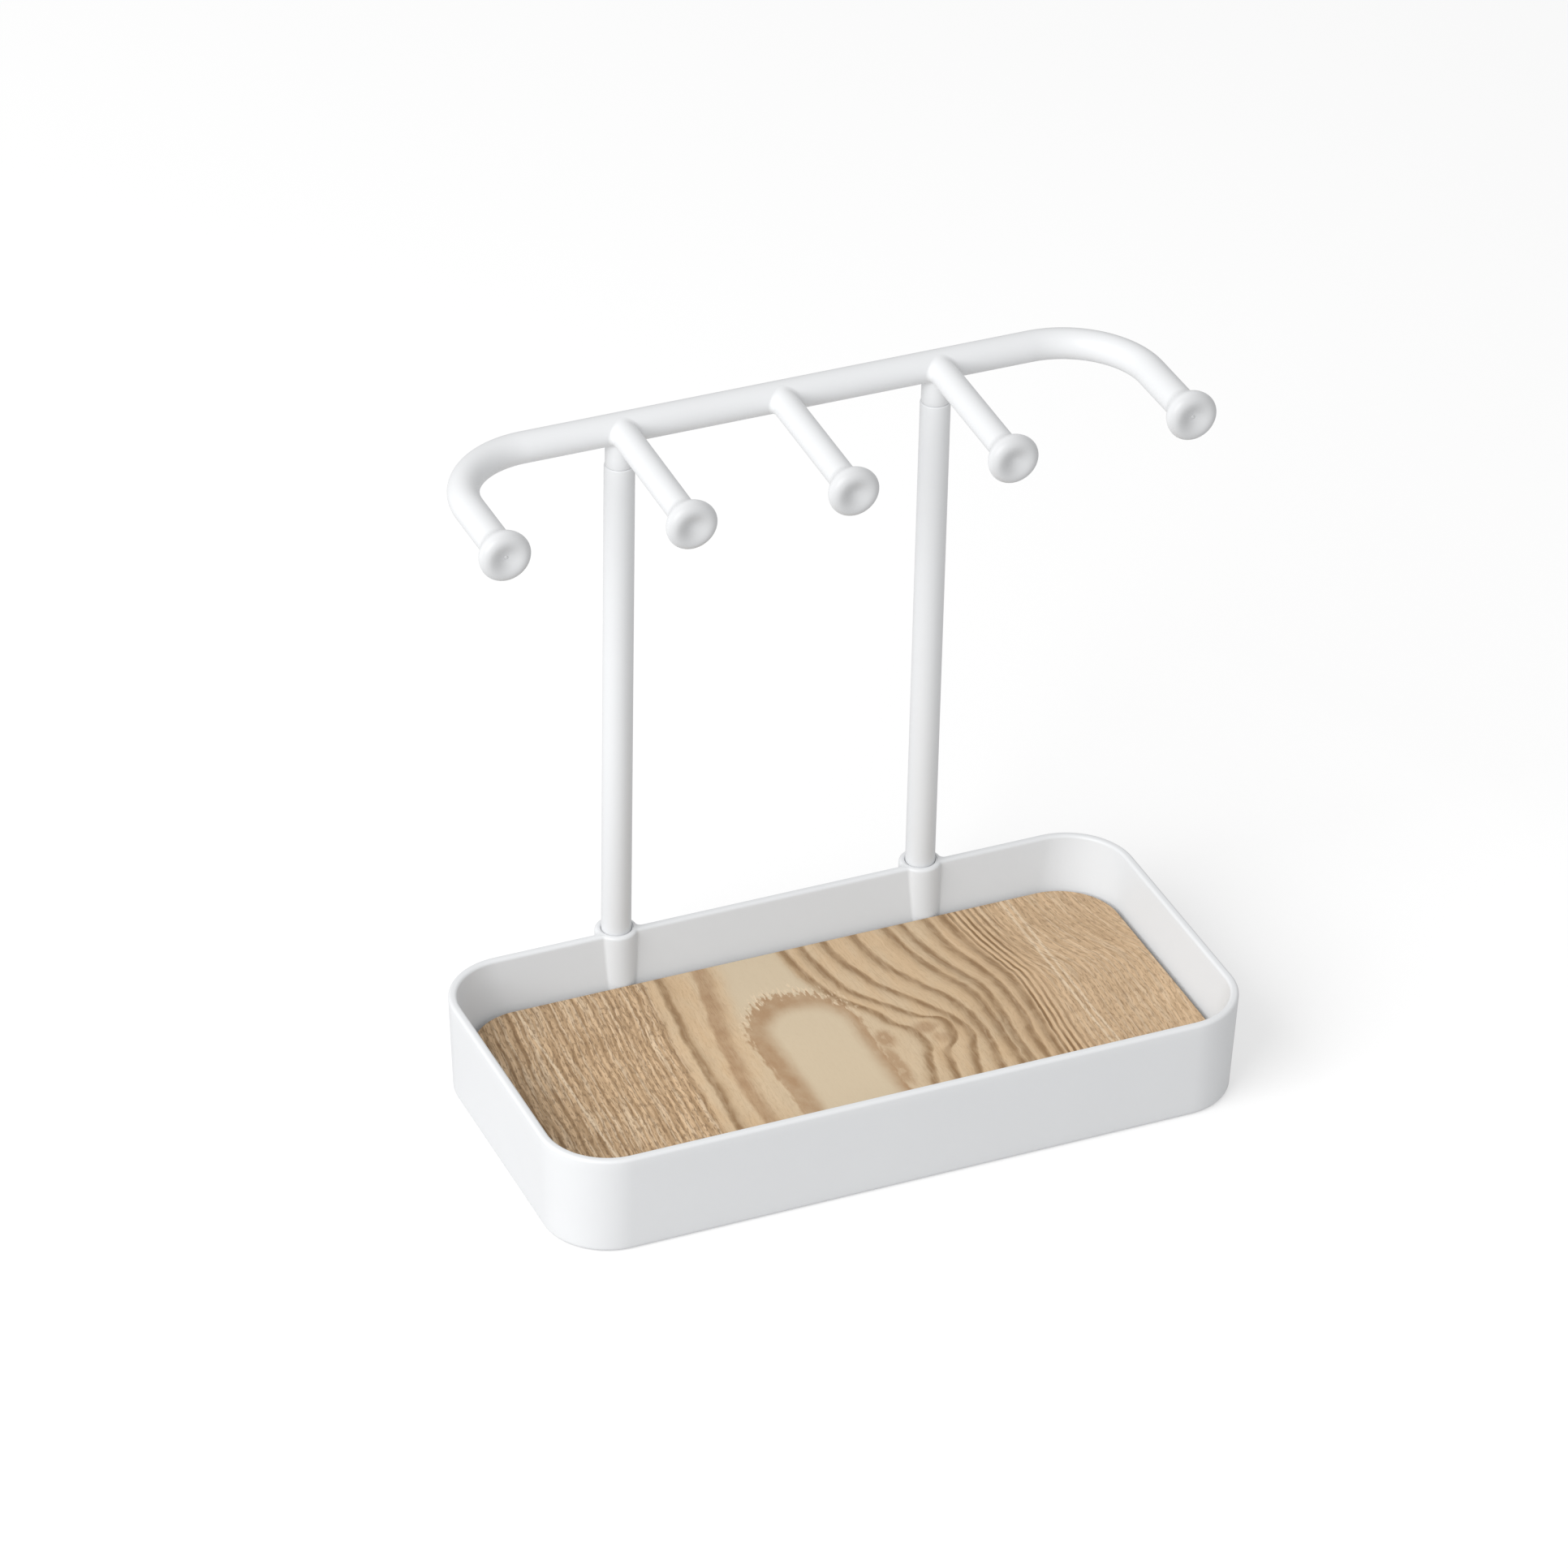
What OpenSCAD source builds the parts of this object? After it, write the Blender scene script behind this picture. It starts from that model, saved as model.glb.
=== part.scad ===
// Free-standing jewellery stand: a moulded tray with a wooden board in it, two tubular
// posts behind the board and, on top of them, a rail that ends in hooks and carries more.
// Sizes are in millimetres. +X runs along the tray, +Y to the rear and +Z up.

/* [Tray] */
// Length of the tray over its rim
tray_l = 200; // [170:1:240]
// Depth of the tray over its rim, front to rear
tray_w = 100; // [85:1:130]
// Height of the tray
tray_h = 30; // [26:1:40]
// Radius of the tray's outer corners at the rim
corner_r = 19; // [14:0.5:26]
// How far each outer wall leans in from the rim to the base
wall_lean = 1.2; // [0.4:0.1:2]
// Radius of the outer edge round the base
base_r = 1.5; // [0.5:0.1:2]
// Thickness of the wall at the rim
rim_t = 2.4; // [2.2:0.1:4]
// Radius of the rim's two edges
rim_r = 0.9; // [0.3:0.1:1]
// How far the basin's wall leans in from the rim to the floor
basin_lean = 1.8; // [0.5:0.1:3]
// Thickness of the raised floor under the board
floor_t = 2.2; // [1.5:0.1:3]
// Thickness of the skirt round the hollow underside, at the base
skirt_t = 3; // [2.4:0.1:4]
// How far the hollow underside narrows towards the floor
recess_lean = 0.6; // [0.2:0.1:1]

/* [Board] */
// Thickness of the wooden board
board_t = 3; // [2:0.1:5]
// Depth of the board's top face below the rim
board_drop = 15.3; // [10:0.1:18]
// Gap between the board's edge and the foot of the basin's wall
board_gap = 1.3; // [0.5:0.1:2.5]
// Radius of the board's corners
board_corner_r = 17; // [12:0.5:22]
// Gap between the board and a socket, where the sockets reach over the board
board_socket_gap = 0.5; // [0.3:0.1:1]

/* [Posts and sockets] */
// Outer diameter of a post
post_d = 8.2; // [7:0.1:10]
// Diameter of the bore through a post
post_bore = 5.2; // [4:0.1:5.8]
// Distance of each post's centre from the middle of the tray
post_x = 45; // [35:0.5:60]
// Distance of the posts' centres behind the tray's rear rim
post_back = 1; // [0:0.1:2.5]
// Edge break at both ends of a post
post_edge = 0.4; // [0.1:0.1:0.8]
// Wall of a socket round its post
socket_wall = 1.7; // [1.2:0.1:2.5]
// Radial clearance of a post in its socket
socket_clear = 0.08; // [0.03:0.01:0.1]
// Thickness of the floor in a socket
socket_floor = 3; // [2:0.1:6]
// Edge break round the mouth of a socket
socket_edge = 0.5; // [0.2:0.1:0.8]

/* [Hook rail] */
// Height of the rail's top above the table
stand_h = 190; // [150:1:240]
// Diameter of the rail and its two end hooks
rail_d = 8.4; // [7:0.1:10]
// Distance between the centres of the two end hooks
rail_span = 192; // [170:1:230]
// Radius of the rail's bends, to the rail's centre line
bend_r = 24; // [16:0.5:30]
// Distance from the rear of the rail to the faces of the knobs
hook_reach = 55; // [48:0.5:70]
// Number of straight hooks between the two end hooks
hook_count = 3; // [2:1:5]
// Diameter of a straight hook
hook_d = 7.5; // [6:0.1:8.4]
// How far a straight hook falls from the rail to its knob
hook_droop = 2.2; // [0:0.1:4]
// Length of the stub below the rail, down to the top of the post
stub_l = 6.6; // [4:0.1:12]
// Diameter of the stub
stub_d = 7.7; // [6.6:0.1:8.2]
// Length of the spigot that goes down into the post
spigot_l = 14; // [8:0.5:25]
// Radial clearance of the spigot in the post's bore
spigot_clear = 0.05; // [0.02:0.01:0.1]
// Edge break at the tip of the spigot
spigot_edge = 0.6; // [0.2:0.1:1]

/* [Knobs] */
// Diameter of a knob
knob_d = 13.8; // [11:0.1:16]
// Radius of the round rim of a knob
knob_rim_r = 2.2; // [1.5:0.1:2.8]
// Distance from a knob's face to where its flare has run out into the hook
knob_l = 9.5; // [7:0.1:14]
// Depth of the dish in a knob's face
dish_depth = 1.5; // [0.5:0.1:3]

/* [Hidden] */

// Roundness of true circles, and of the corners inside a hull
$fn = 64;
hull_fn = 32;
// Thickness of the slices that a hull runs between, and the overrun of a cut
slice = 0.01;
over = 1;
// Steps in a rounded edge, in the dish and in the flare of a knob
edge_steps = 3;
dish_steps = 8;
flare_steps = 10;

// Heights
floor_z = tray_h - board_drop - board_t;
recess_top = floor_z - floor_t;
seam_z = stand_h - rail_d - stub_l;
rail_z = stand_h - rail_d / 2;

// Places along Y, from the middle of the tray
post_y = tray_w / 2 + post_back;
socket_r = post_d / 2 + socket_clear + socket_wall;
face_y = post_y + rail_d / 2 - hook_reach;
hook_l = post_y - face_y;
hook_tilt = asin(hook_droop / hook_l);

// The origin lies under the middle of the whole stand's box
rear_y = max(post_y + socket_r, tray_w / 2);
mid_y = (rear_y - tray_w / 2) / 2;

// Insets of the walls from the tray's outline at the rim
basin_inset = rim_t + basin_lean;
board_inset = basin_inset + board_gap;
recess_inset = wall_lean + skirt_t;
basin_corner_r = board_corner_r + board_gap;

// Angle of the step i in a rounded edge
function edge_angle(i) = 90 * i / edge_steps;

// Points [radius, height] of a knob's outline, from the middle of its face backwards
function knob_points(rod_r) =
    let (rim_x = knob_d / 2 - knob_rim_r, flare_l = knob_l - knob_rim_r)
    concat(
        [for (i = [0 : dish_steps])
            [rim_x * i / dish_steps, dish_depth * (1 + cos(180 * i / dish_steps)) / 2]],
        [for (i = [1 : dish_steps])
            let (a = 90 * i / dish_steps)
            [rim_x + knob_rim_r * sin(a), knob_rim_r * (1 - cos(a))]],
        [for (i = [1 : flare_steps])
            let (u = i / flare_steps)
            [rod_r + (knob_d / 2 - rod_r) * (1 + cos(180 * u)) / 2, knob_rim_r + flare_l * u]]);

// One thin slice of a rounded rectangle that is inset from the tray's outline
module slice_at(z, inset, r) {
    for (sx = [-1, 1], sy = [-1, 1])
        translate([sx * (tray_l / 2 - inset - r), sy * (tray_w / 2 - inset - r), z])
            cylinder(r = r, h = slice, $fn = hull_fn);
}

// The tray's outside, leaning in towards the base, with a round lower and upper edge
module tray_outside() {
    hull() {
        for (i = [0 : edge_steps]) {
            a = edge_angle(i);
            base_in = wall_lean + base_r * (1 - sin(a));
            rim_in = rim_r * (1 - sin(a));
            slice_at(base_r * (1 - cos(a)), base_in, corner_r - base_in);
            slice_at(tray_h - slice - rim_r * (1 - cos(a)), rim_in, corner_r - rim_in);
        }
    }
}

// Slice of the basin at the angle a of the rim's round inner edge
module rim_slice(a) {
    inset = rim_t - rim_r * (1 - cos(a));
    slice_at(tray_h - rim_r * (1 - sin(a)), inset, corner_r - inset);
}

// The basin above the floor, with the rim's inner edge rounded
module basin() {
    hull() {
        slice_at(floor_z, basin_inset, basin_corner_r);
        rim_slice(0);
    }
    for (i = [1 : edge_steps])
        hull() {
            rim_slice(edge_angle(i - 1));
            rim_slice(edge_angle(i));
        }
}

// The hollow under the floor, open at the base
module recess() {
    hull() {
        slice_at(-over, recess_inset, corner_r - recess_inset);
        slice_at(recess_top, recess_inset + recess_lean, corner_r - recess_inset - recess_lean);
    }
}

// Places its children at the left (-1) or right (1) post's centre
module at_post(side) {
    translate([side * post_x, post_y, 0]) children();
}

module socket_outside() {
    cylinder(r = socket_r, h = tray_h - socket_edge);
    translate([0, 0, tray_h - socket_edge])
        cylinder(r1 = socket_r, r2 = socket_r - socket_edge, h = socket_edge);
}

module socket_bore() {
    bore_r = post_d / 2 + socket_clear;
    translate([0, 0, socket_floor])
        cylinder(r = bore_r, h = tray_h);
    translate([0, 0, tray_h - socket_edge])
        cylinder(r1 = bore_r, r2 = bore_r + socket_edge + over, h = socket_edge + over);
}

module tray() {
    color("white")
    difference() {
        union() {
            difference() {
                tray_outside();
                basin();
                recess();
            }
            for (side = [-1, 1]) at_post(side) socket_outside();
        }
        for (side = [-1, 1]) at_post(side) socket_bore();
    }
}

module wood_board() {
    half_l = tray_l / 2 - board_inset;
    half_w = tray_w / 2 - board_inset;
    color("burlywood")
    difference() {
        translate([0, 0, floor_z])
            linear_extrude(board_t)
                union() {
                    square([2 * half_l, 2 * (half_w - board_corner_r)], center = true);
                    square([2 * (half_l - board_corner_r), 2 * half_w], center = true);
                    for (sx = [-1, 1], sy = [-1, 1])
                        translate([sx * (half_l - board_corner_r), sy * (half_w - board_corner_r)])
                            circle(r = board_corner_r);
                }
        for (side = [-1, 1])
            at_post(side) cylinder(r = socket_r + board_socket_gap, h = tray_h);
    }
}

// A tube that stands on the floor of its socket and reaches up to the rail's stub
module post(side) {
    outer_r = post_d / 2;
    color("white")
    at_post(side)
        rotate_extrude()
            polygon([
                [post_bore / 2, socket_floor],
                [outer_r - post_edge, socket_floor],
                [outer_r, socket_floor + post_edge],
                [outer_r, seam_z - post_edge],
                [outer_r - post_edge, seam_z],
                [post_bore / 2, seam_z]]);
}

// A hook along +Y from its knob's face, with a core that reaches on into what carries it
module hook(rod_r, l) {
    core_r = rod_r / 2;
    root = [[rod_r, l], [core_r, l], [core_r, l + over], [0, l + over]];
    rotate([-90, 0, 0])
        rotate_extrude()
            polygon(concat(knob_points(rod_r), root));
}

// One end of the rail: the bend towards the front and the end hook
module rail_end() {
    translate([rail_span / 2 - bend_r, post_y - bend_r, rail_z])
        rotate_extrude(angle = 90)
            translate([bend_r, 0]) circle(d = rail_d);
    translate([rail_span / 2, face_y, rail_z])
        hook(rail_d / 2, post_y - bend_r - face_y);
}

// The stub under the rail and the spigot below it
module stub() {
    spigot_r = post_bore / 2 - spigot_clear;
    spigot_z = seam_z - spigot_l;
    rotate_extrude()
        polygon([
            [0, spigot_z],
            [spigot_r - spigot_edge, spigot_z],
            [spigot_r, spigot_z + spigot_edge],
            [spigot_r, seam_z],
            [stub_d / 2, seam_z],
            [stub_d / 2, rail_z],
            [0, rail_z]]);
}

module hook_rail() {
    straight_l = rail_span - 2 * bend_r;
    color("white")
    union() {
        translate([-straight_l / 2, post_y, rail_z])
            rotate([0, 90, 0])
                cylinder(d = rail_d, h = straight_l);
        rail_end();
        mirror([1, 0, 0]) rail_end();
        for (i = [0 : hook_count - 1])
            translate([post_x * (2 * i / (hook_count - 1) - 1), post_y, rail_z])
                rotate([hook_tilt, 0, 0])
                    translate([0, -hook_l, 0])
                        hook(hook_d / 2, hook_l);
        for (side = [-1, 1]) at_post(side) stub();
    }
}

// Moves a piece from the tray's frame to the stand's
module placed() {
    translate([0, -mid_y, 0]) children();
}

placed() tray();
placed() wood_board();
placed() post(-1);  // left_post
placed() post(1);  // right_post
placed() hook_rail();
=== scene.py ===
"""Jewellery stand: tray, wooden board, two posts and a rail of knobbed hooks, dressed for a photograph.

Lengths are metres, apart from the wood's pattern, which is worked out in millimetres on the board. The
pieces lie in the CAD model's frame: +X along the tray, +Y to the rear, +Z up.
"""
import math
from functools import partialmethod

import bmesh
import bpy
import numpy as np
from mathutils import Matrix, Vector


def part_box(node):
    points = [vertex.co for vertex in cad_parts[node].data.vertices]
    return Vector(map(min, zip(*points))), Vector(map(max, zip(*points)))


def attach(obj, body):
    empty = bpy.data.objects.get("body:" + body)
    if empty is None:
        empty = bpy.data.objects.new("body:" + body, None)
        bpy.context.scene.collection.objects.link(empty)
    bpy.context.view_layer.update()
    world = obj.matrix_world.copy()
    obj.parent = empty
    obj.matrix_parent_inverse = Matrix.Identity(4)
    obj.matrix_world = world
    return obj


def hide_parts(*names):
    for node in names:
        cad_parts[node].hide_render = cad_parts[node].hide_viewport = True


bl_info = {
    "name": "Jewellery stand",
    "version": (1, 0, 0),
    "blender": (4, 5, 0),
    "location": "3D View > Sidebar > Jewellery stand",
    "description": "Builds the dressed pieces of a jewellery stand, and its studio",
    "category": "Object",
}

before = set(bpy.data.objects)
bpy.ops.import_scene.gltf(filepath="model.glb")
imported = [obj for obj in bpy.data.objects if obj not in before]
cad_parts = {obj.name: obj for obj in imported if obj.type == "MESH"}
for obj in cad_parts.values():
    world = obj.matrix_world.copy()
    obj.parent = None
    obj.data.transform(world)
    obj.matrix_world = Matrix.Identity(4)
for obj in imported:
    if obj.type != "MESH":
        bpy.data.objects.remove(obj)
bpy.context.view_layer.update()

MM = 0.001
QUARTER = math.pi / 2  # a quarter turn

board_low, board_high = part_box("wood_board")
tray_low, tray_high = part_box("tray")
post_low, post_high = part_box("right_post")
rail_low, rail_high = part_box("hook_rail")
TRAY_Y = (board_low.y + board_high.y) / 2
POST_X = (post_low.x + post_high.x) / 2
POST_Y = (post_low.y + post_high.y) / 2
POST_R = (post_high.x - post_low.x) / 2
KNOB_R = 6.9 * MM

RING = 48  # points round a rod, a post or a knob
AROUND = 2 * math.pi * np.arange(RING) / RING
CORNER_STEPS, FRONT_STEPS, END_STEPS, REAR_STEPS = 24, 16, 8, 6  # points along the tray's outline
SOCKET_STEPS, FILLET_STEPS = 32, 8  # points round a socket and round the fillets beside it
MOUTH_REACH = 7.5 * MM  # how far from a post's middle the rim's middle line begins to pass its bore
NEAR_BASE = 0.8 * MM  # height of the row of points just above the ring that the tray stands on
SOCKET_FOOT = 0.4 * MM  # how much narrower a socket is at the base
GATE_MARK = np.array([(0, 0.7, 1.0, 1.3), (0.22, 0.2, 0.02, 0.0)])  # radii in gates, heights in mm
ROOT_WIDTH = 0.965  # how far a root reaches across the rail, in the rail's radii
ROOT_SINK = 0.01 * MM  # how far a root's rim lies inside the rail
ROOT_CLOSE = 0.4 * MM  # how much deeper the ring that closes a root lies
WELD = 2e-6  # points closer than this are one point
CREASE = math.radians(32)  # edges sharper than this stay sharp
HEIGHT_OF_RAIL = (0.15, 0.16)  # above these heights, plastic belongs to the rail and its knobs
PAINTED_SHADE_FADE = (0.8 * MM, 3.2 * MM)  # how far behind a knob's face the painted shade on it starts and ends to fade

FLOOR_HALF, FLOOR_Z = 6.0, -0.05 * MM  # half the floor's width, and its place a hair under the tray
LAMP_PLACE, LAMP_AIM, LAMP_SIDE = Vector((-1.74, -0.75, 1.39)), Vector((0, 0, 0.08)), 1.8


# ---------------------------------------------------------------- sizes and colours

def number(name, description, default, **more):
    """A property that holds a number."""
    return bpy.props.FloatProperty(name=name, description=description, default=default, **more)


def length(name, description, default):
    """A property that holds a length in metres."""
    return number(name, description, default, min=0, precision=5, subtype="DISTANCE", unit="LENGTH")


def angle(name, description, degrees):
    """A property that holds an angle."""
    return number(name, description, math.radians(degrees), subtype="ANGLE", unit="ROTATION")


def paint(name, description, default):
    """A property that holds a colour."""
    return bpy.props.FloatVectorProperty(name=name, description=description, default=default,
                                         size=3, min=0, max=1, subtype="COLOR")


class StandTraySizes(bpy.types.PropertyGroup):
    """Sizes of the tray and of the board in it"""
    half_length: length("Half length", "From the tray's middle to its side at the rim", tray_high.x)
    half_depth: length("Half depth", "From the tray's middle to its front at the rim", TRAY_Y - tray_low.y)
    height: length("Height", "Height of the tray", tray_high.z)
    corner: length("Corner radius", "Radius of the outer corners at the rim", 19 * MM)
    wall_lean: length("Wall lean", "How far the outside leans in down to the base", 1.2 * MM)
    base_round: length("Base rounding", "Radius of the edge round the base", 1.5 * MM)
    rim: length("Rim thickness", "Thickness of the wall at the rim", 2.4 * MM)
    rim_round: length("Rim rounding", "Radius of the rim's edges", 0.9 * MM)
    basin_lean: length("Basin lean", "How far the basin's wall leans in down to the floor", 1.8 * MM)
    basin_corner: length("Basin corner radius", "Radius of the basin's corners at the floor", 18.3 * MM)
    foot_round: length("Foot rounding", "Radius between the basin's wall and its floor", 0.7 * MM)
    floor: length("Floor height", "Height of the floor that the board lies on", board_low.z)
    recess_top: length("Recess height", "Height of the ceiling of the hollow underside", 9.5 * MM)
    recess_inset: length("Recess inset", "From the rim's outline to the hollow's wall below", 4.2 * MM)
    recess_lean: length("Recess lean", "How far the hollow narrows up to its ceiling", 0.6 * MM)
    socket: length("Socket radius", "Outer radius of the sockets", 5.88 * MM)
    socket_front: length("Socket front radius", "Radius of the sockets' front by the board", 6.35 * MM)
    socket_fillet: length("Socket fillet", "Radius where a socket runs into the wall", 1.2 * MM)
    socket_gap: length("Socket clearance", "Gap between a post and its socket", 0.08 * MM)
    socket_mouth: length("Socket mouth", "Radius of the edge round the socket's mouth", 0.5 * MM)
    board_corner: length("Board corner radius", "Radius of the board's corners", 17 * MM)
    board_edge: length("Board edge", "Radius of the board's sanded edges", 0.35 * MM)


class StandRailSizes(bpy.types.PropertyGroup):
    """Sizes of the posts and of the rail with its hooks"""
    post: length("Post radius", "Outer radius of a post", POST_R)
    post_bore: length("Bore radius", "Radius of the bore through a post", 2.6 * MM)
    post_edge: length("Post edge", "Radius of the edges at a post's ends", 0.4 * MM)
    bore_edge: length("Bore edge", "Radius of the edges round a post's bore", 0.25 * MM)
    rail: length("Rail radius", "Radius of the rail and its end hooks", 4.2 * MM)
    rail_height: length("Rail height", "Height of the rail's axis", rail_high.z - KNOB_R)
    end_x: length("End hook place", "From the middle to the axis of an end hook", rail_high.x - KNOB_R)
    bend: length("Bend radius", "Radius of the rail's bends", 24 * MM)
    reach: length("Reach", "From the rail's axis to the knobs' faces", 50.8 * MM)
    hook: length("Hook radius", "Radius of a straight hook", 3.75 * MM)
    droop: length("Hook droop", "How far a straight hook falls from the rail to its knob", 2.2 * MM)
    root_round: length("Root rounding", "How far a hook's root spreads on the rail", 1.3 * MM)
    knob: length("Knob radius", "Radius of a knob", KNOB_R)
    knob_round: length("Knob rounding", "Radius of a knob's round rim", 2.2 * MM)
    knob_length: length("Knob length", "From a knob's face to the end of its flare", 9.5 * MM)
    dish: length("Dish depth", "Depth of the dish in a knob's face", 1.5 * MM)
    gate: length("Gate radius", "Radius of the moulding gate's mark on the end knobs", 0.5 * MM)
    stub: length("Stub radius", "Radius of the stubs under the rail", 3.85 * MM)
    stub_edge: length("Stub edge", "Radius of the edge at a stub's end", 0.3 * MM)
    stub_root: length("Stub root", "How far a stub's root spreads on the rail", 1.0 * MM)
    spigot: length("Spigot radius", "Radius of the spigots in the posts", 2.55 * MM)
    spigot_low: length("Spigot height", "Height of the spigots' tips", rail_low.z)
    spigot_edge: length("Spigot edge", "Edge break at a spigot's tip", 0.6 * MM)


class StandColours(bpy.types.PropertyGroup):
    """Colours and finishes"""
    plastic: paint("Plastic", "Colour of the moulded plastic", (0.778, 0.788, 0.80))
    plastic_dust: paint("Plastic shade", "Duller tone that mottles the plastic", (0.753, 0.761, 0.772))
    # painted shade: the knobs' faces and dishes are darkened to this colour in place of shade
    painted_knob_shade: paint("Knob face", "Painted shade on the knobs' faces", (0.645, 0.652, 0.661))
    cream: paint("Cream wood", "Palest wood, in and behind the arch of the grain", (0.645, 0.525, 0.365))
    blush: paint("Blush wood", "Wood between the broad rings", (0.655, 0.47, 0.285))
    tan: paint("Tan wood", "Wood between the streaks at both ends", (0.725, 0.51, 0.31))
    brown: paint("Brown wood", "Soft bands and blotches", (0.42, 0.265, 0.145))
    ring: paint("Ring", "Late wood of the rings", (0.265, 0.152, 0.065))
    pore: paint("Pore", "Short dark pores", (0.22, 0.13, 0.065))
    glint: paint("Pale streak", "Thin pale streaks", (0.80, 0.63, 0.44))
    thrown: paint("Thrown light", "Colour of the light that the wood throws back", (0.50, 0.475, 0.44))


class StandStudio(bpy.types.PropertyGroup):
    """Camera and light"""
    azimuth: angle("Azimuth", "Where the camera stands round the stand", -23.928)
    elevation: angle("Elevation", "How far the camera looks down", 32.924)
    roll: angle("Roll", "Turn of the camera about its own line of sight", 1.233)
    target: bpy.props.FloatVectorProperty(name="Target", description="Point at the middle of the picture",
                                          default=(-0.01893, -0.00344, 0.10041), size=3,
                                          precision=5, subtype="TRANSLATION", unit="LENGTH")
    distance: length("Distance", "From the camera to the target", 1.9627)
    lens: number("Lens", "Focal length in millimetres on a 36 mm sensor", 172.589, min=10,
                 subtype="DISTANCE_CAMERA")
    sky: number("Sky", "Strength of the even light from all round", 0.62, min=0, max=10)
    key: number("Key light", "Power of the large lamp at the upper left, in watts", 45.0, min=0, max=1000)
    floor: paint("Floor", "Colour of the floor in the picture", (0.62, 0.62, 0.62))
    floor_dim: paint("Floor bounce", "Colour of the light that the floor throws back", (0.52, 0.52, 0.52))
    floor_glow: number("Floor glow", "Light that the floor gives off in the picture", 0.42, min=0, max=10)


# ---------------------------------------------------------------- surfaces

def as_columns(*values):
    """Values as columns of one common length, one value per row."""
    return [value[:, None] for value in np.broadcast_arrays(*map(np.atleast_1d, values))]


def arc(x, y, radius, start, end, count):
    """Points x + radius cos a, y + radius sin a for count angles a from start to just short of end.

    Each argument holds one value per row, and the result is rows by count by 2.
    """
    x, y, radius, start, end = as_columns(x, y, radius, start, end)
    a = start + (end - start) * np.arange(count) / count
    return np.stack([x + radius * np.cos(a), y + radius * np.sin(a)], axis=-1)


def line(x0, y0, x1, y1, count):
    """Points at even steps from (x0, y0) to just short of (x1, y1), rows by count by 2."""
    x0, y0, x1, y1 = as_columns(x0, y0, x1, y1)
    t = np.arange(count) / count
    return np.stack([x0 + (x1 - x0) * t, y0 + (y1 - y0) * t], axis=-1)


def rounded_rectangle(half_x, half_y, corner, rear=None):
    """Outline of a rectangle with quarter circles at its corners, one row per value.

    It starts at the front, and rear is the list of stretches that stands for its straight rear side.
    """
    cx, cy = half_x - corner, half_y - corner
    if rear is None:
        rear = [line(cx, half_y, -cx, half_y, FRONT_STEPS)]
    return np.concatenate([
        line(-cx, -half_y, cx, -half_y, FRONT_STEPS), arc(cx, -cy, corner, -QUARTER, 0, CORNER_STEPS),
        line(half_x, -cy, half_x, cy, END_STEPS), arc(cx, cy, corner, 0, QUARTER, CORNER_STEPS), *rear,
        arc(-cx, cy, corner, QUARTER, 2 * QUARTER, CORNER_STEPS),
        line(-half_x, cy, -half_x, -cy, END_STEPS),
        arc(-cx, -cy, corner, 2 * QUARTER, 3 * QUARTER, CORNER_STEPS)], axis=1)


def socket_run(kind, cx, cy, wall, radius, fillet):
    """How the tray's outline passes a socket at (cx, cy), from its right side to its left.

    Behind the wall (kind 1) or in front of it (kind -1): a fillet that is tangent to the wall and to the
    socket's circle, that circle, and a fillet again. The fillet's centre is its radius away from the wall
    and its radius plus the socket's away from the socket's centre.
    """
    fy = wall + kind * fillet
    fx = np.sqrt((radius + fillet) ** 2 - (fy - cy) ** 2)
    lean = np.arctan2(fy - cy, fx)
    turn = kind * QUARTER
    return fx, np.concatenate([
        arc(cx + fx, fy, fillet, -turn, lean - 2 * turn, FILLET_STEPS),
        arc(cx, cy, radius, lean, 2 * turn - lean, SOCKET_STEPS),
        arc(cx - fx, fy, fillet, -lean, -turn, FILLET_STEPS)], axis=1)


def mouth_run(kind, cx, cy, wall, radius):
    """The same stretch along the rim's middle line, round a bore's edge behind it (1) or in front (-1)."""
    split = np.sqrt(radius ** 2 - (wall - cy) ** 2)
    lean = np.arctan2(wall - cy, split)
    far = np.full_like(split, MOUTH_REACH)
    return far, np.concatenate([
        line(cx + far, wall, cx + split, wall, FILLET_STEPS),
        arc(cx, cy, radius, lean, kind * math.pi - lean, SOCKET_STEPS),
        line(cx - split, wall, cx - far, wall, FILLET_STEPS)], axis=1)


def tray_outline(s, kind, inset, corner, radius, fillet=None):
    """Outline of the tray, inset from its rim: a rounded rectangle whose rear side passes both sockets.

    It passes behind them (kind 1) or in front of them (kind -1), and without a fillet it is the rim's
    middle line, which passes the bores.
    """
    inset, corner, radius = np.broadcast_arrays(*map(np.atleast_1d, (inset, corner, radius)))
    half_x, half_y = s.half_length - inset, s.half_depth - inset

    def passing(side):
        place = kind, side * POST_X, POST_Y - TRAY_Y, half_y, radius
        return mouth_run(*place) if fillet is None else socket_run(*place, fillet)

    far, right = passing(1)
    _, left = passing(-1)
    rear = [line(half_x - corner, half_y, POST_X + far, half_y, REAR_STEPS), right,
            line(POST_X - far, half_y, far - POST_X, half_y, 2 * REAR_STEPS), left,
            line(-POST_X - far, half_y, corner - half_x, half_y, REAR_STEPS)]
    return rounded_rectangle(half_x, half_y, corner, rear)


def lifted(outline, z):
    """Rows of an outline set at their heights, in the stand's frame."""
    z = np.broadcast_to(np.atleast_1d(z)[:, None], outline.shape[:2])
    return np.stack([outline[..., 0], outline[..., 1] + TRAY_Y, z], axis=-1)


def middle_row(rows):
    """The row's points all moved to the tray's middle, at their own height: a flat closing."""
    return rows * np.array([0, 0, 1]) + np.array([0, TRAY_Y, 0])


def lathe(radius, height, cx=0.0, cy=0.0, around=AROUND):
    """A profile of radii and heights turned about the upright line at (cx, cy)."""
    radius, height = as_columns(radius, height)
    x, y = cx + radius * np.cos(around), cy + radius * np.sin(around)
    return np.stack([x, y, height + 0 * around], axis=-1)


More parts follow.
